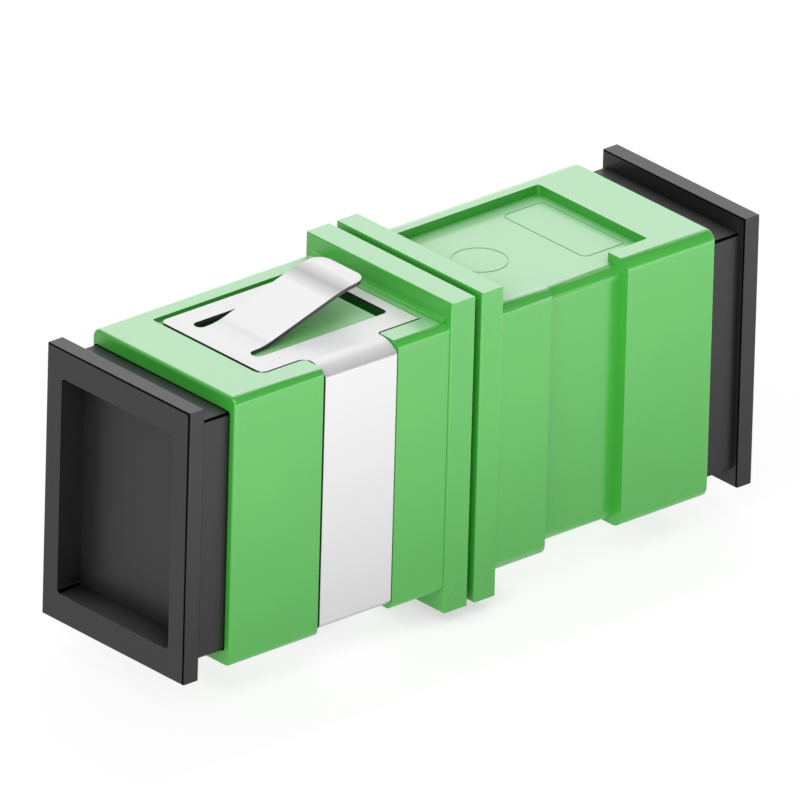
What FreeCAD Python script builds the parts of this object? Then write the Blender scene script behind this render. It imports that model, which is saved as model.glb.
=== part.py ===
import FreeCAD
import Part
import math
import os

from FreeCAD import Vector

# Simplex fibre adapter with a reduced flange, a spring clip and a dust cap in each end.
# Millimetres. The origin is on the optical axis, in the plane where the two housing halves
# meet. X runs along the optical axis, with the clipped half towards -X. Y runs across the
# narrow way, with the clip's band on -Y and the key slots on +Y. Z runs the tall way.
# Each half is drawn with its mouth towards +X, and the clipped half is then mirrored.

# the standard plug, and the room left round it
plug_width = 7.4
plug_height = 9.0
plug_clearance = 0.05

# housing
half_length = 13.85
side_wall = 0.95
top_wall = 1.85
socket_corner_radius = 0.25
front_edge_radius = 0.35
rear_edge_radius = 0.52
mouth_edge_radius = 0.15
mouth_rim_near = 0.33
mouth_rim_far = 0.12
mouth_rim_top = 0.675
mouth_depth = 0.35
mouth_corner_radius = 0.2
socket_lead_in = 0.3
key_slot_width = 2.6
key_slot_length = 4.6
key_slot_radius = 0.4

# flange plates, with a groove between their rims
flange_step_top = 1.0
flange_step_side = 0.08
flange_groove_depth = 0.55
flange_relief = 0.18
flange_edge_radius = 0.08
flange_foot_radius = 0.25
front_flange_thickness = 1.39
rear_flange_thickness = 1.26

# chamber for the latch inserts, and the room that their hooks flex into
chamber_step_side = 0.3
chamber_step_top = 0.9
chamber_depth = 1.5
hook_relief_height = 0.65
hook_relief_gap = 0.2
hook_relief_end_gap = 0.6

# locating pegs, one peg and one hole in each half, on opposite corners
peg_radius = 0.4
peg_length = 0.7
peg_clearance = 0.05
peg_offset = 2.6

# spring clip, folded from sheet
sheet = 0.18
clip_floor_depth = 0.2
clip_setback = 0.58
clip_near_inset = 1.4
clip_far_inset = 1.3
clip_corner_radius = 0.35
clip_waist_radius = 0.45
clip_rear_waist_radius = 0.22
band_setback = 2.42
band_width = 4.09
shoulder_radius = 1.32
shoulder_angle = 40.0
fold_radius = 0.07
window_rear_strip = 0.6
window_length = 7.52
window_front_strip = 0.85
window_near_strip = 1.28
window_far_strip = 1.06
window_corner_radius = 0.28
tab_near_gap = 0.65
tab_far_gap = 0.58
tab_root_flat = 0.04
tab_rise_angle = 17.4
tab_root_radius = 3.4
tab_knee_radius = 6.5
tab_tip_radius = 0.7
panel_gap = 1.83

# room for the clip in its seat, and the slot beneath two edges of its window
seat_front_gap = 0.2
seat_rear_gap = 0.02
seat_near_gap = 0.13
seat_far_gap = 0.29
seat_corner_radius = 0.12
channel_front_gap = 0.13
channel_rear_gap = 0.05
under_slot_width = 0.46
under_slot_depth = 0.7
under_slot_undercut = 0.4

# empty clip seat moulded in the other half
rear_seat_end = 11.03
rear_seat_near_inset = 1.33
rear_seat_far_inset = 0.93
rear_seat_top_depth = 0.45
rear_seat_bottom_depth = 0.22
rear_seat_side_depth = 0.57
rear_channel_start = 4.33
rear_channel_width = 4.41
rear_channel_edge_radius = 0.5

# split alignment sleeve
ferrule_radius = 1.25
sleeve_wall = 0.35
sleeve_length = 11.4
sleeve_slit = 0.5
sleeve_chamfer = 0.1
sleeve_clearance = 0.03
sleeve_end_gap = 0.05

# latch insert
insert_clearance = 0.05
insert_corner_radius = 0.5
holder_wall = 0.57
holder_lip = 0.45
holder_lip_clearance = 0.2
holder_lead_in = 0.25
arm_width = 3.0
arm_thickness = 0.9
arm_inset = 0.2
arm_reach = 2.1
hook_length = 1.4
hook_land = 0.4
hook_height = 0.65
hook_undercut = 0.1
hook_nose = 0.35
arm_root_radius = 0.3

# dust cap
cap_plate_width = 9.3
cap_plate_height = 12.93
cap_plate_thickness = 0.93
cap_edge_radius = 0.1
cap_neck_length = 1.68
cap_neck_clearance = 0.05
cap_pocket_depth = 1.3
cap_pocket_side_rim = 1.0
cap_pocket_top_rim = 1.36
cap_pocket_radius = 0.2
skirt_clearance = 0.1
skirt_wall = 0.75
skirt_floor = 0.85
skirt_gap = 0.7
skirt_corner_radius = 0.25
skirt_hollow_radius = 0.2
skirt_slot_gap = 0.3
skirt_slot_end_gap = 0.7

# sizes that follow
socket_width = plug_width + 2 * plug_clearance
socket_height = plug_height + 2 * plug_clearance
body_width = socket_width + 2 * side_wall
body_height = socket_height + 2 * top_wall
flange_width = body_width + 2 * flange_step_side
flange_height = body_height + 2 * flange_step_top
land_width = flange_width - 2 * flange_groove_depth
land_height = flange_height - 2 * flange_groove_depth
chamber_width = socket_width + 2 * chamber_step_side
chamber_height = socket_height + 2 * chamber_step_top
mouth_width = body_width - mouth_rim_near - mouth_rim_far
mouth_height = body_height - 2 * mouth_rim_top
mouth_shift = (mouth_rim_near - mouth_rim_far) / 2
mouth_step = half_length - mouth_depth
peg_height = (chamber_height + land_height) / 4

sleeve_radius = ferrule_radius + sleeve_wall
holder_bore = sleeve_radius + sleeve_clearance
holder_radius = holder_bore + holder_wall
holder_lip_start = sleeve_length / 2 + sleeve_end_gap
holder_end = holder_lip_start + holder_lip
arm_outer = socket_height / 2 - arm_inset
arm_inner = arm_outer - arm_thickness
arm_end = holder_end + arm_reach
insert_thickness = chamber_depth - insert_clearance

front_flange_face = flange_relief + front_flange_thickness
rear_flange_face = flange_relief + rear_flange_thickness
plate_rear = front_flange_face + clip_setback
window_rear = plate_rear + window_rear_strip
window_front = window_rear + window_length
plate_front = window_front + window_front_strip
plate_near = clip_near_inset - body_width / 2
plate_far = body_width / 2 - clip_far_inset
window_near = plate_near + window_near_strip
window_far = plate_far - window_far_strip
band_rear = plate_rear + band_setback
band_front = band_rear + band_width
clip_floor_height = body_height / 2 - clip_floor_depth
clip_floor_side = body_width / 2 - clip_floor_depth
tab_root = window_front - max(tab_near_gap, tab_far_gap) / 2 - tab_root_flat
tab_tip = front_flange_face + panel_gap
tab_near = window_near + tab_near_gap
tab_far = window_far - tab_far_gap

outside = body_width + body_height


def flat(a, b):
    return Vector(a, b, 0)


def upright(a, b):
    return Vector(a, 0, b)


def across(a, b):
    return Vector(0, a, b)


# closed wire through corners given as (a, b, radius), each rounded by its own radius
def outline(corners, place):
    edges = []
    runs = []
    for index, (a, b, radius) in enumerate(corners):
        here = flat(a, b)
        back = flat(*corners[index - 1][:2]).sub(here).normalize()
        ahead = flat(*corners[(index + 1) % len(corners)][:2]).sub(here).normalize()
        half_turn = back.getAngle(ahead) / 2
        reach = radius / math.tan(half_turn)
        start = here + back * reach
        end = here + ahead * reach
        if radius > 0:
            crown = here + (back + ahead).normalize() * (radius / math.sin(half_turn) - radius)
            stops = [place(point.x, point.y) for point in (start, crown, end)]
            edges.append(Part.Arc(*stops).toShape())
        runs.append((start, end))
    for index, (start, end) in enumerate(runs):
        last = runs[index - 1][1]
        if start.distanceToPoint(last) > 1e-6:
            edges.append(Part.LineSegment(place(last.x, last.y), place(start.x, start.y)).toShape())
    return Part.Wire(Part.__sortEdges__(edges))


def rectangle(a_from, a_to, b_from, b_to, radius):
    return [(a_from, b_from, radius), (a_to, b_from, radius), (a_to, b_to, radius), (a_from, b_to, radius)]


def centred(width, height, radius):
    return rectangle(-width / 2, width / 2, -height / 2, height / 2, radius)


def extrude(corners, place, direction):
    return Part.Face(outline(corners, place)).extrude(direction)


# prism along X from a centred rounded rectangle
def bar(start, end, width, height, radius):
    prism = extrude(centred(width, height, radius), across, Vector(end - start, 0, 0))
    return prism.translate(Vector(start, 0, 0))


# plate square to X with the rims of both faces rounded
def rimmed_plate(start, end, width, height, radius):
    plate = bar(start, end, width, height, 0)
    return plate.makeFillet(radius, edges_at(plate, start) + edges_at(plate, end))


def block(x_from, x_to, y_from, y_to, z_from, z_to):
    size = (x_to - x_from, y_to - y_from, z_to - z_from)
    return Part.makeBox(*size, Vector(x_from, y_from, z_from))


def rod(start, end, radius, y=0, z=0):
    return Part.makeCylinder(radius, end - start, Vector(start, y, z), Vector(1, 0, 0))


def cone(start, end, start_radius, end_radius):
    return Part.makeCone(start_radius, end_radius, end - start, Vector(start, 0, 0), Vector(1, 0, 0))


def edges_at(shape, x):
    return [edge for edge in shape.Edges if abs(edge.BoundBox.XMin - x) + abs(edge.BoundBox.XMax - x) < 1e-4]


def upside_down(shape):
    return shape.mirror(Vector(0, 0, 0), Vector(0, 0, 1))


def to_front(shape):
    return shape.mirror(Vector(0, 0, 0), Vector(1, 0, 0))


# closed profile of a bent sheet: one face follows the moves, the other is `thickness` to its left
def bent_sheet(start, heading, moves, thickness, place):
    point = flat(*start)
    turned = math.radians(heading)
    faces = ([], [])
    for length, radius, angle in moves:
        ahead = flat(math.cos(turned), math.sin(turned))
        left = flat(-ahead.y, ahead.x)
        if angle == 0:
            after = point + ahead * length
            for side, shift in zip(faces, (0, thickness)):
                a = point + left * shift
                b = after + left * shift
                side.append(Part.LineSegment(place(a.x, a.y), place(b.x, b.y)).toShape())
            point = after
            continue
        way = math.copysign(1, angle)
        centre = point + left * (way * radius)
        spoke = point - centre
        swing = math.radians(angle)
        for side, shift in zip(faces, (0, thickness)):
            scale = (radius - way * shift) / radius
            stops = []
            for share in (0, 0.5, 1):
                stop = centre + turn(spoke * scale, swing * share)
                stops.append(place(stop.x, stop.y))
            side.append(Part.Arc(*stops).toShape())
        point = centre + turn(spoke, swing)
        turned += swing
    first = [side[0].Vertexes[0].Point for side in faces]
    last = [side[-1].Vertexes[-1].Point for side in faces]
    ends = [Part.LineSegment(*pair).toShape() for pair in (first, last)]
    return Part.Wire(Part.__sortEdges__(faces[0] + faces[1] + ends))


def turn(vector, angle):
    cosine = math.cos(angle)
    sine = math.sin(angle)
    return flat(vector.x * cosine - vector.y * sine, vector.x * sine + vector.y * cosine)


# -------- housing --------
def housing(edge_radius, flange_face, peg_side, feet, seat_cuts):
    body = bar(flange_relief, half_length, body_width, body_height, edge_radius)
    body = body.makeFillet(mouth_edge_radius, edges_at(body, half_length))
    flange = rimmed_plate(flange_relief, flange_face, flange_width, flange_height, flange_edge_radius)
    land = bar(0, flange_face, land_width, land_height, 0)
    peg_y = peg_side * peg_offset
    peg_z = peg_side * peg_height
    peg = rod(-peg_length, flange_face, peg_radius, peg_y, peg_z)
    peg_hole = rod(0, peg_length + peg_clearance, peg_radius + peg_clearance, -peg_y, -peg_z)
    shell = body.fuse([flange, land] + feet)
    return shell.cut(inside() + seat_cuts + [peg_hole]).fuse(peg).removeSplitter()


# plug socket, its mouth, the chamber for the insert, room for the hooks, and the key slot
def inside():
    socket = bar(0, mouth_step, socket_width, socket_height, socket_corner_radius)
    mouth = bar(mouth_step, half_length, mouth_width, mouth_height, mouth_corner_radius)
    mouth.translate(Vector(0, mouth_shift, 0))
    chamber = bar(0, chamber_depth, chamber_width, chamber_height, insert_corner_radius)
    relief_side = arm_width / 2 + hook_relief_gap
    relief_top = socket_height / 2 + hook_relief_height
    relief = block(0, arm_end + hook_relief_end_gap, -relief_side, relief_side, -relief_top, relief_top)
    slot_width = key_slot_width / 2
    slot_end = half_length + key_slot_radius
    slot = rectangle(half_length - key_slot_length, slot_end, -slot_width, slot_width, key_slot_radius)
    key_slot = extrude(slot, upright, Vector(0, body_width, 0))
    return [socket, lead_in(), mouth, chamber, relief, key_slot]


def lead_in():
    sections = []
    for grow in (0, socket_lead_in):
        corners = centred(socket_width + 2 * grow, socket_height + 2 * grow, socket_corner_radius + grow)
        section = outline(corners, across)
        section.translate(Vector(mouth_step - socket_lead_in + grow, 0, 0))
        sections.append(section)
    return Part.makeLoft(sections, True, True)


# hollow fillets where the top and bottom of the clipped half meet its flange
def flange_feet():
    reach = body_width / 2 - front_edge_radius
    top = body_height / 2
    x_to = front_flange_face + flange_foot_radius
    foot = block(front_flange_face, x_to, -reach, reach, top, top + flange_foot_radius)
    centre = Vector(x_to, -reach, top + flange_foot_radius)
    foot = foot.cut(Part.makeCylinder(flange_foot_radius, 2 * reach, centre, Vector(0, 1, 0)))
    return [foot, upside_down(foot)]


# shallow pocket in the top or bottom face, open upwards from its floor
def seat_pocket(corners, floor):
    return extrude(corners, flat, Vector(0, 0, outside)).translate(Vector(0, 0, floor))


def clip_seat():
    x_from = plate_rear - seat_rear_gap
    x_to = plate_front + seat_front_gap
    y_from = plate_near - seat_near_gap
    y_to = plate_far + seat_far_gap
    corners = [
        (x_from, y_from, 0),
        (x_to, y_from, clip_corner_radius + seat_near_gap),
        (x_to, y_to, seat_corner_radius),
        (x_from, y_to, seat_corner_radius),
    ]
    pocket = seat_pocket(corners, clip_floor_height)
    plan = clip_plan(channel_front_gap, channel_rear_gap, seat_near_gap)
    channel = folded_band(outside, 0, half_length).common(plan)
    slot = under_slot()
    return [pocket, upside_down(pocket), channel, slot, upside_down(slot)]


# deep L-shaped slot beneath the rear and far edges of the window, running on below the plate
def under_slot():
    rear = window_rear - under_slot_undercut
    far = window_far + under_slot_undercut
    inner = window_rear + under_slot_width
    corners = [
        (rear, window_near, 0),
        (inner, window_near, 0),
        (inner, tab_far, 0),
        (window_front, tab_far, 0),
        (window_front, far, 0),
        (rear, far, 0),
    ]
    slot = extrude(corners, flat, Vector(0, 0, under_slot_depth))
    return slot.translate(Vector(0, 0, clip_floor_height - under_slot_depth))


def rear_seat():
    y_from = rear_seat_near_inset - body_width / 2
    y_to = body_width / 2 - rear_seat_far_inset
    top = body_height / 2 - rear_seat_top_depth
    bottom = body_height / 2 - rear_seat_bottom_depth
    plan = rectangle(rear_flange_face, rear_seat_end, y_from, y_to, seat_corner_radius)
    pocket = seat_pocket(plan, top)
    under = upside_down(seat_pocket(plan, bottom))
    x_to = rear_channel_start + rear_channel_width
    side = rear_seat_side_depth - body_width / 2
    room = block(rear_channel_start, x_to, -outside, y_to, -outside, outside)
    section = rectangle(side, outside, -bottom, top, rear_channel_edge_radius)
    core = extrude(section, across, Vector(x_to, 0, 0))
    return [pocket, under, room.cut(core)]


# -------- spring clip --------
# sheet folded round the top, near side and bottom of the clip's floor, this thick outwards
def folded_band(thickness, x_from, length):
    angle = math.radians(shoulder_angle)
    reach = shoulder_radius * math.sin(angle) + fold_radius * (1 - math.sin(angle))
    drop = shoulder_radius * (1 - math.cos(angle)) + fold_radius * math.cos(angle)
    leg = (plate_far + clip_floor_side - reach, 0, 0)
    side = (2 * (clip_floor_height - drop), 0, 0)
    shoulder = (0, shoulder_radius + thickness, shoulder_angle)
    fold = (0, fold_radius + thickness, 90 - shoulder_angle)
    moves = [leg, shoulder, fold, side, fold, shoulder, leg]
    section = bent_sheet((plate_far, clip_floor_height + thickness), 180, moves, thickness, across)
    return Part.Face(section).extrude(Vector(length, 0, 0)).translate(Vector(x_from, 0, 0))


# the clip seen from above, grown in front of its band, behind it and towards the near side
def clip_plan(front_gap, rear_gap, near_gap):
    near = plate_near - near_gap
    corners = [
        (plate_rear, plate_far, 0),
        (plate_front, plate_far, clip_corner_radius),
        (plate_front, near, clip_corner_radius + near_gap),
        (band_front + front_gap, near, clip_waist_radius - near_gap),
        (band_front + front_gap, -body_width, 0),
        (band_rear - rear_gap, -body_width, 0),
        (band_rear - rear_gap, near, clip_rear_waist_radius - near_gap),
        (plate_rear, near, 0),
    ]
    return through(corners)


# prism that passes right through the housing from top to bottom
def through(corners):
    return extrude(corners, flat, Vector(0, 0, 2 * outside)).translate(Vector(0, 0, -outside))


# window round the tab, with a round end to the slot on each side of the tab's root
def clip_window():
    near_end = tab_near_gap / 2
    far_end = tab_far_gap / 2
    corners = [
        (window_rear, window_near, window_corner_radius),
        (window_front, window_near, near_end),
        (window_front, tab_near, near_end),
        (tab_root, tab_near, 0),
        (tab_root, tab_far, 0),
        (window_front, tab_far, far_end),
        (window_front, window_far, far_end),
        (window_rear, window_far, window_corner_radius),
    ]
    return through(corners)


# spring tab that rises from the front of the window and levels out at its tip
def clip_tab():
    angle = math.radians(tab_rise_angle)
    slope = tab_root - tab_tip - (tab_root_radius + tab_knee_radius) * math.sin(angle)
    moves = [
        (0, tab_root_radius, -tab_rise_angle),
        (slope / math.cos(angle), 0, 0),
        (0, tab_knee_radius, tab_rise_angle),
    ]
    side = bent_sheet((tab_root, clip_floor_height + sheet), 180, moves, sheet, upright)
    strip = Part.Face(side).extrude(Vector(0, tab_far - tab_near, 0)).translate(Vector(0, tab_near, 0))
    corners = [
        (tab_tip, tab_near, tab_tip_radius),
        (tab_root, tab_near, 0),
        (tab_root, tab_far, 0),
        (tab_tip, tab_far, tab_tip_radius),
    ]
    return strip.common(through(corners))


def mounting_clip():
    wrap = folded_band(sheet, plate_rear, plate_front - plate_rear).common(clip_plan(0, 0, 0))
    tab = clip_tab()
    return wrap.cut(clip_window()).fuse([tab, upside_down(tab)]).removeSplitter()


# -------- plug latch and alignment --------
def latch_insert():
    width = chamber_width - 2 * insert_clearance
    height = chamber_height - 2 * insert_clearance
    plate = bar(0, insert_thickness, width, height, insert_corner_radius - insert_clearance)
    holder = rod(0, holder_end, holder_radius)
    arm = latch_arm()
    lip_bore = ferrule_radius + holder_lip_clearance
    bores = [
        rod(0, holder_lip_start, holder_bore),
        rod(0, holder_end, lip_bore),
        cone(holder_end - holder_lead_in, holder_end, lip_bore, lip_bore + holder_lead_in),
    ]
    return plate.fuse([holder, arm, upside_down(arm)]).cut(bores).removeSplitter()


def latch_arm():
    hook_back = arm_end - hook_length
    corners = [
        (0, arm_outer, 0),
        (arm_end, arm_outer, 0),
        (arm_end, arm_inner + hook_nose, 0),
        (hook_back + hook_land, arm_inner - hook_height, 0),
        (hook_back, arm_inner - hook_height, 0),
        (hook_back + hook_undercut, arm_inner, 0),
        (insert_thickness, arm_inner, arm_root_radius),
        (insert_thickness, arm_inner - 2 * arm_root_radius, 0),
        (0, arm_inner - 2 * arm_root_radius, 0),
    ]
    return extrude(corners, upright, Vector(0, arm_width, 0)).translate(Vector(0, -arm_width / 2, 0))


def alignment_sleeve():
    end = sleeve_length / 2
    mouth = ferrule_radius + sleeve_chamfer
    tube = rod(-end, end, sleeve_radius).cut(rod(-end, end, ferrule_radius))
    slit = block(-end, end, -sleeve_slit / 2, sleeve_slit / 2, 0, sleeve_length)
    ends = [
        cone(end - sleeve_chamfer, end, ferrule_radius, mouth),
        cone(-end, sleeve_chamfer - end, mouth, ferrule_radius),
    ]
    return tube.cut(ends + [slit])


# -------- dust cap --------
def dust_cap():
    neck_end = half_length + cap_neck_length
    cap_end = neck_end + cap_plate_thickness
    pocket_floor = cap_end - cap_pocket_depth
    plate = rimmed_plate(neck_end, cap_end, cap_plate_width, cap_plate_height, cap_edge_radius)
    neck_width = mouth_width - 2 * cap_neck_clearance
    neck_height = mouth_height - 2 * cap_neck_clearance
    neck = bar(mouth_step, neck_end, neck_width, neck_height, mouth_corner_radius - cap_neck_clearance)
    neck.translate(Vector(0, mouth_shift, 0))
    pocket_width = cap_plate_width - 2 * cap_pocket_side_rim
    pocket_height = cap_plate_height - 2 * cap_pocket_top_rim
    pocket = bar(pocket_floor, cap_end, pocket_width, pocket_height, cap_pocket_radius)
    return plate.fuse([neck, cap_skirt()]).cut([pocket, cap_hollow(pocket_floor)]).removeSplitter()


# hollow stem that fills the plug socket and straddles the latch hooks
def cap_skirt():
    width = socket_width - 2 * skirt_clearance
    height = socket_height - 2 * skirt_clearance
    return bar(holder_end + skirt_gap, mouth_step, width, height, skirt_corner_radius)


def cap_hollow(pocket_floor):
    start = holder_end + skirt_gap
    end = pocket_floor - skirt_floor
    inset = 2 * (skirt_clearance + skirt_wall)
    hollow = bar(start, end, socket_width - inset, socket_height - inset, skirt_hollow_radius)
    slot_side = arm_width / 2 + skirt_slot_gap
    slots = block(start, arm_end + skirt_slot_end_gap, -slot_side, slot_side, -socket_height, socket_height)
    return hollow.fuse(slots)


nodes = {
    "housing_front": to_front(housing(front_edge_radius, front_flange_face, -1, flange_feet(), clip_seat())),
    "housing_rear": housing(rear_edge_radius, rear_flange_face, 1, [], rear_seat()),
    "latch_insert_front": to_front(latch_insert()),
    "latch_insert_rear": latch_insert(),
    "alignment_sleeve": alignment_sleeve(),
    "mounting_clip": to_front(mounting_clip()),
    "dust_cap_front": to_front(dust_cap()),
    "dust_cap_rear": dust_cap(),
}

os.makedirs("parts", exist_ok=True)
for name, shape in nodes.items():
    shape.exportStep(f"parts/{name}.step")
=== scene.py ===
import math

import bpy
from mathutils import Matrix, Vector


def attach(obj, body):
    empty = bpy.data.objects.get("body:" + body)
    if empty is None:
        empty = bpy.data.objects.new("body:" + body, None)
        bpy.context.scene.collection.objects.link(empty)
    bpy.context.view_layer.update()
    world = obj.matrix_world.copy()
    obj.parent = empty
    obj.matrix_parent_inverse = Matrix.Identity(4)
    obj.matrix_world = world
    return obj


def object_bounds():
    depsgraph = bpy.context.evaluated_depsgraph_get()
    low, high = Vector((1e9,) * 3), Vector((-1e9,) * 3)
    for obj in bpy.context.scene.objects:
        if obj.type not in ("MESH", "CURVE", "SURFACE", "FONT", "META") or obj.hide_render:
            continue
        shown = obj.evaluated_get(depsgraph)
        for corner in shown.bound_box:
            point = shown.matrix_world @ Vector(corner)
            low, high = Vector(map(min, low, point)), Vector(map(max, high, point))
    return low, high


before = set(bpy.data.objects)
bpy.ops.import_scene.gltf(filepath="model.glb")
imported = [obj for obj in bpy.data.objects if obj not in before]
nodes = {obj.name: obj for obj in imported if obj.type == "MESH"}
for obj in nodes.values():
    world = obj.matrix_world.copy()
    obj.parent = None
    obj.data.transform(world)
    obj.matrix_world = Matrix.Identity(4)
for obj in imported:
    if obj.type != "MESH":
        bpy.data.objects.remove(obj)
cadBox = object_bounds()
scene = bpy.context.scene
mm = 0.001
print("frame loaded:", len(nodes), "nodes")

# angles in degrees, the lens in millimetres, the rest in metres
cameraSettings = {
    "azimuth": -41.975,
    "elevation": 25.187,
    "roll": 1.555,
    "distance": 1.445,
    "lens": 1500,
    "target": (-0.128 * mm, 0, 0.659 * mm),
    "near": 0.1,
    "far": 20,
}


def makeCamera(settings):
    azimuth, elevation, roll = (math.radians(settings[key]) for key in ("azimuth", "elevation", "roll"))
    level = math.cos(elevation)
    back = Vector((math.sin(azimuth) * level, -math.cos(azimuth) * level, math.sin(elevation)))
    right = Vector((math.cos(azimuth), math.sin(azimuth), 0))
    up = back.cross(right)
    turned = right * math.cos(roll) + up * math.sin(roll)
    camera = bpy.data.objects.new("camera", bpy.data.cameras.new("camera"))
    scene.collection.objects.link(camera)
    camera.data.lens = settings["lens"]
    camera.data.clip_start = settings["near"]
    camera.data.clip_end = settings["far"]
    camera.matrix_world = Matrix((turned, back.cross(turned), back)).transposed().to_4x4()
    camera.location = Vector(settings["target"]) + back * settings["distance"]
    scene.camera = camera


# soft boxes aimed at the adapter: bearing from +X towards +Y, height above the floor and spread, in degrees
lightSettings = {
    "behind": {"bearing": 48, "height": 16, "wide": 80, "tall": 32, "radiance": 1.0},
    "above": {"bearing": 66, "height": 54, "wide": 60, "tall": 32, "radiance": 1.05},
    "front": {"bearing": 210, "height": 40, "wide": 60, "tall": 44, "radiance": 2.4},
}
lightDistance = 0.9
worldSettings = {"color": (1.0, 1.0, 1.0), "strength": 0.38}


def makeLights(settings):
    for name, light in settings.items():
        angles = (math.radians(light[key]) for key in ("bearing", "height", "wide", "tall"))
        bearing, height, wide, tall = angles
        level = math.cos(height)
        away = Vector((math.cos(bearing) * level, math.sin(bearing) * level, math.sin(height)))
        lamp = bpy.data.lights.new(name, "AREA")
        lamp.shape = "RECTANGLE"
        lamp.size = 2 * lightDistance * math.tan(wide / 2)
        lamp.size_y = 2 * lightDistance * math.tan(tall / 2)
        lamp.energy = light["radiance"] * math.pi * lamp.size * lamp.size_y
        holder = bpy.data.objects.new(name, lamp)
        scene.collection.objects.link(holder)
        holder.location = away * lightDistance
        holder.rotation_euler = (-away).to_track_quat("-Z", "Y").to_euler()


def makeWorld(settings):
    world = bpy.data.worlds.new("studio")
    world.use_nodes = True
    background = world.node_tree.nodes["Background"]
    background.inputs["Color"].default_value = (*settings["color"], 1)
    background.inputs["Strength"].default_value = settings["strength"]
    scene.world = world


# a value in a node tree, with arithmetic
class Term:
    def __init__(self, graph, socket):
        self.graph = graph
        self.socket = socket

    def __add__(self, other):
        return self.graph.maths("ADD", self, other)

    def __sub__(self, other):
        return self.graph.maths("SUBTRACT", self, other)

    def __rsub__(self, other):
        return self.graph.maths("SUBTRACT", other, self)

    def __mul__(self, other):
        return self.graph.maths("MULTIPLY", self, other)

    __radd__ = __add__
    __rmul__ = __mul__

    def above(self, other):
        return self.graph.maths("GREATER_THAN", self, other)

    def larger(self, other):
        return self.graph.maths("MAXIMUM", self, other)

    def size(self):
        return self.graph.maths("ABSOLUTE", self)

    # 0 up to the start, 1 from the end on
    def ramp(self, start, end):
        sockets = {"Value": self, "From Min": start, "From Max": end}
        return self.graph.node("ShaderNodeMapRange", "Result", {}, sockets)


class Graph:
    def __init__(self, name):
        self.material = bpy.data.materials.new(name)
        self.material.use_nodes = True
        self.tree = self.material.node_tree
        self.shader = self.tree.nodes["Principled BSDF"]

    def connect(self, value, socket):
        if isinstance(value, Term):
            self.tree.links.new(value.socket, socket)
        elif socket.type == "RGBA":
            socket.default_value = (*value, 1)
        else:
            socket.default_value = value

    # settings by name, then sockets by name or number
    def node(self, kind, output, settings, sockets):
        made = self.tree.nodes.new(kind)
        for key, value in settings.items():
            setattr(made, key, value)
        for key, value in sockets.items():
            self.connect(value, made.inputs[key])
        return Term(self, made.outputs[output])

    def maths(self, operation, *values):
        return self.node("ShaderNodeMath", 0, {"operation": operation}, dict(enumerate(values)))

    # the point on the piece, in millimetres, stretched along each axis
    def place(self, stretch=(1, 1, 1)):
        where = self.node("ShaderNodeTexCoord", "Object", {}, {})
        scale = [part / mm for part in stretch]
        return self.node("ShaderNodeVectorMath", "Vector", {"operation": "MULTIPLY"}, {0: where, 1: scale})

    def parts(self, vector):
        split = self.node("ShaderNodeSeparateXYZ", "X", {}, {"Vector": vector})
        return [Term(self, socket) for socket in split.socket.node.outputs]

    # how far the surface faces along the adapter, sideways and up
    def directions(self):
        return self.parts(self.node("ShaderNodeTexCoord", "Normal", {}, {}))

    def noise(self, scale, detail, stretch=(1, 1, 1)):
        sockets = {"Vector": self.place(stretch), "Scale": scale, "Detail": detail}
        return self.node("ShaderNodeTexNoise", "Fac", {}, sockets)

    # 1 in the open, less in corners, 0 deep inside
    def openness(self, reach, samples):
        return self.node("ShaderNodeAmbientOcclusion", "AO", {"samples": samples}, {"Distance": reach})

    def mix(self, factor, first, second):
        return self.node("ShaderNodeMix", 2, {"data_type": "RGBA"}, {0: factor, 6: first, 7: second})

    def bump(self, height, distance):
        return self.node("ShaderNodeBump", "Normal", {}, {"Height": height, "Distance": distance})

    def surface(self, sockets):
        for key, value in sockets.items():
            self.connect(value, self.shader.inputs[key])
        return self.material


# a glowing table with painted light: its glow is painted brighter towards the near side, over the rise in
# millimetres, and a painted shadow darkens it close to the adapter
floorSettings = {
    "width": 6.0,
    "color": (0.14, 0.14, 0.14),
    "roughness": 0.8,
    "glow": (0.86, 0.86, 0.86),
    "glowNear": (2.3, 2.3, 2.3),
    "rise": (9.0, 48.0),
    "shade": (0.58, 0.58, 0.58),
    "shadeReach": 1.9 * mm,
    "shadeRange": (0.1, 0.82),
    "shadeSamples": 16,
}


def makeFloor(settings):
    half = settings["width"] / 2
    low = cadBox[0].z
    mesh = bpy.data.meshes.new("floor")
    corners = [(-half, -half, low), (half, -half, low), (half, half, low), (-half, half, low)]
    mesh.from_pydata(corners, [], [(0, 1, 2, 3)])
    floor = bpy.data.objects.new("floor", mesh)
    scene.collection.objects.link(floor)

    graph = Graph("floorPaint")
    across = graph.parts(graph.place())[1]
    # painted light: the glow rises towards the near side
    lit = graph.mix((0 - across).ramp(*settings["rise"]), settings["glow"], settings["glowNear"])
    # painted shadow: the glow drops to the shade colour close to the adapter
    clear = graph.openness(settings["shadeReach"], settings["shadeSamples"]).ramp(*settings["shadeRange"])
    mesh.materials.append(graph.surface({
        "Base Color": settings["color"],
        "Roughness": settings["roughness"],
        "Emission Color": graph.mix(clear, settings["shade"], lit),
        "Emission Strength": 1.0,
    }))


# what every moulded piece shares; each pair is where an effect starts and where it is full
mouldedSettings = {
    "flowDetail": 3.0,
    "flowDull": 0.03,
    "grainDetail": 4.0,
    "grainDull": 0.04,
    "contrast": (0.3, 0.7),
    "glancing": (0.42, 0.60),
    "upward": (-0.1, 0.3),
    "reach": 2.6 * mm,
    "samples": 8,
    "exposed": (0.45, 0.95),
    "broken": (0.03, 0.12),
    # the near-black colour of the painted shade in deep corners and along edges
    "shade": (0.0015, 0.0015, 0.0015),
}
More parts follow.
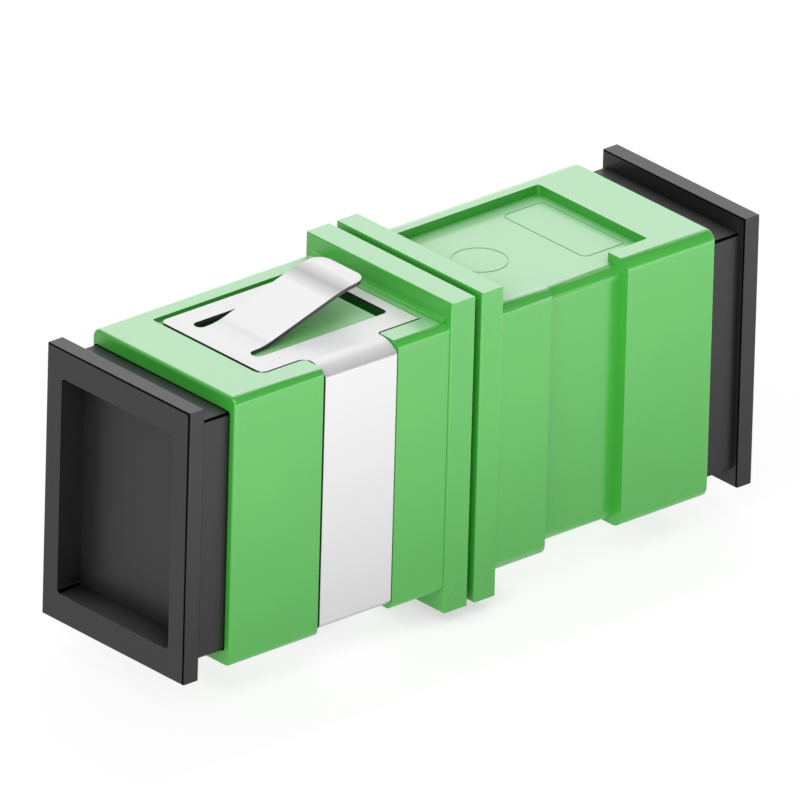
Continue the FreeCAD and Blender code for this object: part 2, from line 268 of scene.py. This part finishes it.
# flow and grain are noise scales, the glancing colour is a painted sheen, edge and nook set painted shade
# on edges and in corners, tucked dulls others
greenSettings = {
    "base": (0.040, 0.375, 0.031),
    "pale": (0.044, 0.395, 0.035),
    "paintedSheen": (0.47, 0.80, 0.49),
    "roughness": 0.17,
    "ior": 1.75,
    "flow": 0.16,
    "grain": 14.0,
    "grainDepth": 0.00012 * mm,
    "edge": 0.0,
    "nook": (0.03, 0.15),
    "tucked": 0.3,
}
blackSettings = {
    "base": (0.012, 0.012, 0.012),
    "pale": (0.015, 0.015, 0.015),
    "paintedSheen": (0.09, 0.09, 0.09),
    "roughness": 0.42,
    "ior": 1.42,
    "flow": 0.2,
    "grain": 9.0,
    "grainDepth": 0.002 * mm,
    "edge": 1.0,
    "nook": (0.05, 0.42),
    "tucked": 0.0,
}
ivorySettings = {
    "base": (0.72, 0.69, 0.58),
    "pale": (0.80, 0.77, 0.67),
    "paintedSheen": (0.86, 0.85, 0.80),
    "roughness": 0.45,
    "ior": 1.5,
    "flow": 0.2,
    "grain": 10.0,
    "grainDepth": 0.0008 * mm,
    "edge": 0.0,
    "nook": (0.0, 0.3),
    "tucked": 0.0,
}
ceramicSettings = {
    "base": (0.86, 0.86, 0.83),
    "pale": (0.90, 0.90, 0.88),
    "paintedSheen": (0.95, 0.95, 0.94),
    "roughness": 0.2,
    "ior": 2.1,
    "flow": 0.3,
    "grain": 20.0,
    "grainDepth": 0.0002 * mm,
    "edge": 0.0,
    "nook": (0.0, 0.3),
    "tucked": 0.0,
}


# slow flow marks in the colour and a fine spark-eroded grain, with a painted sheen on what faces up and
# painted shade in corners and along edges
def makeMoulded(name, ownSettings):
    settings = {**mouldedSettings, **ownSettings}
    graph = Graph(name)
    flow = graph.noise(settings["flow"], settings["flowDetail"]).ramp(*settings["contrast"])
    grain = graph.noise(settings["grain"], settings["grainDetail"])
    along, sideways, upward = graph.directions()
    facing = graph.node("ShaderNodeLayerWeight", "Facing", {}, {})
    openness = graph.openness(settings["reach"], settings["samples"])
    exposed = openness.ramp(*settings["exposed"])
    # painted sheen: the base colour turns pale where the surface faces up at a glancing angle, in the open
    paintedSheen = facing.ramp(*settings["glancing"]) * exposed * upward.ramp(*settings["upward"])
    flat = along.size().larger(sideways.size()).larger(upward.size())
    edge = (1 - flat).ramp(*settings["broken"]) * settings["edge"]
    # painted shade: the colour goes near-black in deep corners and along bevelled edges
    light = openness.ramp(*settings["nook"]) * (1 - edge)
    body = graph.mix(paintedSheen, graph.mix(flow, settings["base"], settings["pale"]), settings["paintedSheen"])
    dull = grain.ramp(*settings["contrast"]) * settings["grainDull"] + flow * settings["flowDull"]
    least = settings["roughness"] - (settings["grainDull"] + settings["flowDull"]) / 2
    return graph.surface({
        "Base Color": graph.mix(light, settings["shade"], body),
        "Roughness": (1 - exposed) * settings["tucked"] + (dull + least),
        "Metallic": 1 - light,  # near-black metal reflects nothing, so corners and edges stay dark
        "Normal": graph.bump(grain, settings["grainDepth"]),
        "IOR": settings["ior"],
    })


# root and knee are the tab's bends, where painted shade darkens it, each a place along the adapter and a
# reach; heights are millimetres too
steelSettings = {
    "base": (0.85, 0.85, 0.85),
    # the grey of the painted shade over bends and folds
    "paintedBendShade": (0.48, 0.48, 0.48),
    "cut": (0.12, 0.12, 0.12),
    "roughness": 0.34,
    "metallic": 0.18,
    "cutMetallic": 0.9,
    "cutDull": 0.25,
    "lines": 30.0,
    "lineStretch": (0.02, 1, 1),
    "lineDetail": 3.0,
    "lineDepth": 0.00006 * mm,
    "lineDull": 0.06,
    "cloud": 0.35,
    "cloudDetail": 2.0,
    "cloudDull": 0.04,
    "contrast": (0.3, 0.7),
    "plateHeight": 6.12,
    "cutAlong": 0.9,
    "cutSideways": 0.75,
    "tabHeight": (6.42, 6.5),
    "root": (-9.8, 0.9),
    "knee": (-4.9, 0.8),
    "fold": (0.2, 0.8),
    "foldUpward": (0.1, 0.3),
    "bandPaintedShade": 0.55,
}


# rolled strip: fine lines along it, painted shade darkening its bends and folds, with dark sheared edges
def makeSteel(name, settings):
    graph = Graph(name)
    lines = graph.noise(settings["lines"], settings["lineDetail"], settings["lineStretch"])
    cloud = graph.noise(settings["cloud"], settings["cloudDetail"]).ramp(*settings["contrast"])
    along, sideways, upward = (part.size() for part in graph.directions())
    length, _, height = graph.parts(graph.place())
    onPlates = height.size().above(settings["plateHeight"])
    cut = along.above(settings["cutAlong"]).larger(sideways.above(settings["cutSideways"]) * onPlates)
    # painted shade: the colour darkens along the band's folds and over the tab's root and knee bends
    bandPaintedShade = settings["bandPaintedShade"]
    share = upward.ramp(*settings["foldUpward"]) * (1 - bandPaintedShade) + bandPaintedShade
    paintedBendShade = sideways.ramp(*settings["fold"]) * share
    onTab = height.size().ramp(*settings["tabHeight"])
    for middle, reach in (settings["root"], settings["knee"]):
        paintedBendShade = (length - middle).size().ramp(reach, 0) * onTab + paintedBendShade
    sheet = graph.mix(paintedBendShade, settings["base"], settings["paintedBendShade"])
    lineDull = lines.ramp(*settings["contrast"]) * settings["lineDull"]
    least = settings["roughness"] - (settings["lineDull"] + settings["cloudDull"]) / 2
    return graph.surface({
        "Base Color": graph.mix(cut, sheet, settings["cut"]),
        "Roughness": cut * settings["cutDull"] + lineDull + cloud * settings["cloudDull"] + least,
        "Metallic": cut * (settings["cutMetallic"] - settings["metallic"]) + settings["metallic"],
        "Normal": graph.bump(lines, settings["lineDepth"]),
    })


# fine half-round ridges that the mould's inserts leave on the floor of the rear recess, in millimetres
markSettings = {
    "Plate Middle": (9.42, 0.3, 5.95),
    "Plate Length": 2.36,
    "Plate Width": 5.4,
    "Corner Radius": 0.3,
    "Corner Steps": 6,
    "Disc Middle": (4.47, 0.2, 5.95),
    "Disc Radius": 1.25,
    "Disc Steps": 72,
    "Ridge Radius": 0.022,
    "Ridge Steps": 10,
}
socketKinds = {tuple: "NodeSocketVector", float: "NodeSocketFloat", int: "NodeSocketInt"}


class Steps:
    def __init__(self, name):
        self.tree = bpy.data.node_groups.new(name, "GeometryNodeTree")
        self.tree.interface.new_socket("Geometry", in_out="OUTPUT", socket_type="NodeSocketGeometry")
        self.entry = self.tree.nodes.new("NodeGroupInput")

    def ask(self, name, kind):
        self.tree.interface.new_socket(name, in_out="INPUT", socket_type=kind)
        return self.entry.outputs[name]

    def step(self, kind, settings, sockets):
        made = self.tree.nodes.new(kind)
        for key, value in settings.items():
            setattr(made, key, value)
        for key, value in sockets.items():
            for part in value if isinstance(value, list) else [value]:
                if isinstance(part, bpy.types.NodeSocket):
                    self.tree.links.new(part, made.inputs[key])
                else:
                    made.inputs[key].default_value = part
        return made.outputs[0]


def makeMarks(settings, material):
    steps = Steps("insertMarks")
    asked = {key: steps.ask(key, socketKinds[type(value)]) for key, value in settings.items()}
    finish = steps.ask("Finish", "NodeSocketMaterial")

    outline = steps.step("GeometryNodeCurvePrimitiveQuadrilateral", {}, {
        "Width": asked["Plate Length"], "Height": asked["Plate Width"]})
    rounded = steps.step("GeometryNodeFilletCurve", {"mode": "POLY"}, {
        "Curve": outline, "Radius": asked["Corner Radius"], "Count": asked["Corner Steps"]})
    plate = steps.step("GeometryNodeTransform", {}, {
        "Geometry": rounded, "Translation": asked["Plate Middle"]})
    ring = steps.step("GeometryNodeCurvePrimitiveCircle", {}, {
        "Resolution": asked["Disc Steps"], "Radius": asked["Disc Radius"]})
    disc = steps.step("GeometryNodeTransform", {}, {"Geometry": ring, "Translation": asked["Disc Middle"]})
    paths = steps.step("GeometryNodeJoinGeometry", {}, {"Geometry": [plate, disc]})
    profile = steps.step("GeometryNodeCurvePrimitiveCircle", {}, {
        "Resolution": asked["Ridge Steps"], "Radius": asked["Ridge Radius"]})
    ridges = steps.step("GeometryNodeCurveToMesh", {}, {"Curve": paths, "Profile Curve": profile})
    whole = steps.step("GeometryNodeTransform", {}, {"Geometry": ridges, "Scale": (mm, mm, mm)})
    smooth = steps.step("GeometryNodeSetShadeSmooth", {}, {"Geometry": whole})
    real = steps.step("GeometryNodeRealizeInstances", {}, {"Geometry": smooth})
    done = steps.step("GeometryNodeSetMaterial", {}, {"Geometry": real, "Material": finish})
    steps.tree.links.new(done, steps.tree.nodes.new("NodeGroupOutput").inputs[0])

    holder = bpy.data.objects.new("insertMarks", bpy.data.meshes.new("insertMarks"))
    scene.collection.objects.link(holder)
    builder = holder.modifiers.new("build", "NODES")
    builder.node_group = steps.tree
    values = dict(settings, Finish=material)
    for item in steps.tree.interface.items_tree:
        if item.in_out == "INPUT":
            builder[item.identifier] = values[item.name]
    holder.update_tag()
    depsgraph = bpy.context.evaluated_depsgraph_get()
    mesh = bpy.data.meshes.new_from_object(holder.evaluated_get(depsgraph))
    holder.modifiers.remove(builder)
    holder.data = mesh
    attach(holder, "adapter")


# merge and width are lengths, flat and sharp are angles between faces in degrees
edgeSettings = {"merge": 0.0008 * mm, "flat": 0.25, "width": 0.045 * mm, "segments": 2, "sharp": 38.0}


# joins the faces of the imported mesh, clears the lines across its flats and breaks its sharp edges
def softenEdges(piece, settings):
    weld = piece.modifiers.new("join", "WELD")
    weld.merge_threshold = settings["merge"]
    clear = piece.modifiers.new("clear", "DECIMATE")
    clear.decimate_type = "DISSOLVE"
    clear.angle_limit = math.radians(settings["flat"])
    bevel = piece.modifiers.new("break", "BEVEL")
    bevel.width = settings["width"]
    bevel.segments = settings["segments"]
    bevel.limit_method = "ANGLE"
    bevel.angle_limit = math.radians(settings["sharp"])
    bevel.use_clamp_overlap = True
    bevel.harden_normals = True
    piece.modifiers.new("shade", "WEIGHTED_NORMAL").keep_sharp = True


def dress(piece, material):
    piece.data.materials.clear()
    piece.data.materials.append(material)
    softenEdges(piece, edgeSettings)


makeCamera(cameraSettings)
makeWorld(worldSettings)
makeLights(lightSettings)
makeFloor(floorSettings)
scene.view_settings.view_transform = "Standard"
print("stage ready")

green = makeMoulded("greenPlastic", greenSettings)
black = makeMoulded("blackPlastic", blackSettings)
ivory = makeMoulded("ivoryPlastic", ivorySettings)
ceramic = makeMoulded("ceramic", ceramicSettings)
steel = makeSteel("springSteel", steelSettings)
finishes = {
    "housing_front": green,
    "housing_rear": green,
    "latch_insert_front": ivory,
    "latch_insert_rear": ivory,
    "alignment_sleeve": ceramic,
    "mounting_clip": steel,
    "dust_cap_front": black,
    "dust_cap_rear": black,
}
for name, material in finishes.items():
    dress(nodes[name], material)
print("CAD nodes dressed:", len(finishes))
makeMarks(markSettings, green)
print("insert marks made")
